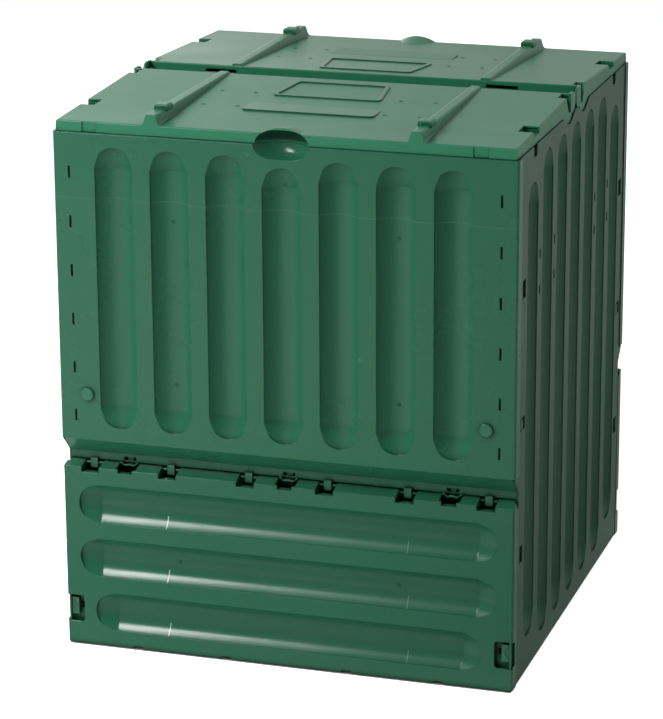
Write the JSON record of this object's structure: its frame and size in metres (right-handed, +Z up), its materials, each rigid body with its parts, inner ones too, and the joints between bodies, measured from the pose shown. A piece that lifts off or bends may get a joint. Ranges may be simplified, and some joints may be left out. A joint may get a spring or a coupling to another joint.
{
  "type": "compost bin",
  "caption": "Square green plastic garden compost bin with fluted wall panels, a hinged flap with sliding latches at front and rear, and a divided hinged lid.",
  "frame": {"origin": "on the ground, in the middle of the bin's outline", "axes": "+Z up, the front flap faces -Y, +X to the right seen from the front"},
  "size_m": [0.7, 0.7282, 0.836],
  "materials": {
    "side_green": "satin moulded",
    "panel_green": "satin moulded",
    "flap_green": "satin moulded",
    "lid_green": "satin moulded",
    "latch_green": "satin moulded",
    "trim_green": "satin moulded"
  },
  "bodies": {
    "bin_walls": {"left_side_panel": "side_green", "right_side_panel": "side_green", "front_upper_panel": "panel_green", "rear_upper_panel": "panel_green", "front_left_stud": "trim_green", "front_right_stud": "trim_green", "rear_left_stud": "trim_green", "rear_right_stud": "trim_green", "front_left_clip": "trim_green", "front_middle_clip": "trim_green", "front_right_clip": "trim_green", "rear_left_clip": "trim_green", "rear_middle_clip": "trim_green", "rear_right_clip": "trim_green"},
    "front_lid_body": {"front_lid": "lid_green"},
    "rear_lid_body": {"rear_lid": "lid_green"},
    "front_flap_body": {"front_flap": "flap_green"},
    "rear_flap_body": {"rear_flap": "flap_green"},
    "front_left_latch_body": {"front_left_latch": "latch_green"},
    "front_right_latch_body": {"front_right_latch": "latch_green"},
    "rear_left_latch_body": {"rear_left_latch": "latch_green"},
    "rear_right_latch_body": {"rear_right_latch": "latch_green"}
  },
  "joints": [
    {"name": "front_lid_hinge", "type": "hinge", "parent": "bin_walls", "child": "front_lid_body", "pos_m": [0, -0.02, 0.811], "axis": [-1, 0, 0], "range_deg": [0, 85]},
    {"name": "rear_lid_hinge", "type": "hinge", "parent": "bin_walls", "child": "rear_lid_body", "pos_m": [0, 0.02, 0.811], "axis": [1, 0, 0], "range_deg": [0, 85]},
    {"name": "front_flap_hinge", "type": "hinge", "parent": "bin_walls", "child": "front_flap_body", "pos_m": [0, -0.3375, 0.286], "axis": [-1, 0, 0], "range_deg": [0, 70]},
    {"name": "rear_flap_hinge", "type": "hinge", "parent": "bin_walls", "child": "rear_flap_body", "pos_m": [0, 0.3375, 0.286], "axis": [1, 0, 0], "range_deg": [0, 70]},
    {"name": "front_left_latch_slide", "type": "slide", "parent": "front_flap_body", "child": "front_left_latch_body", "axis": [1, 0, 0], "range_m": [0, 0.008]},
    {"name": "front_right_latch_slide", "type": "slide", "parent": "front_flap_body", "child": "front_right_latch_body", "axis": [-1, 0, 0], "range_m": [0, 0.008]},
    {"name": "rear_left_latch_slide", "type": "slide", "parent": "rear_flap_body", "child": "rear_left_latch_body", "axis": [1, 0, 0], "range_m": [0, 0.008]},
    {"name": "rear_right_latch_slide", "type": "slide", "parent": "rear_flap_body", "child": "rear_right_latch_body", "axis": [-1, 0, 0], "range_m": [0, 0.008]}
  ]
}
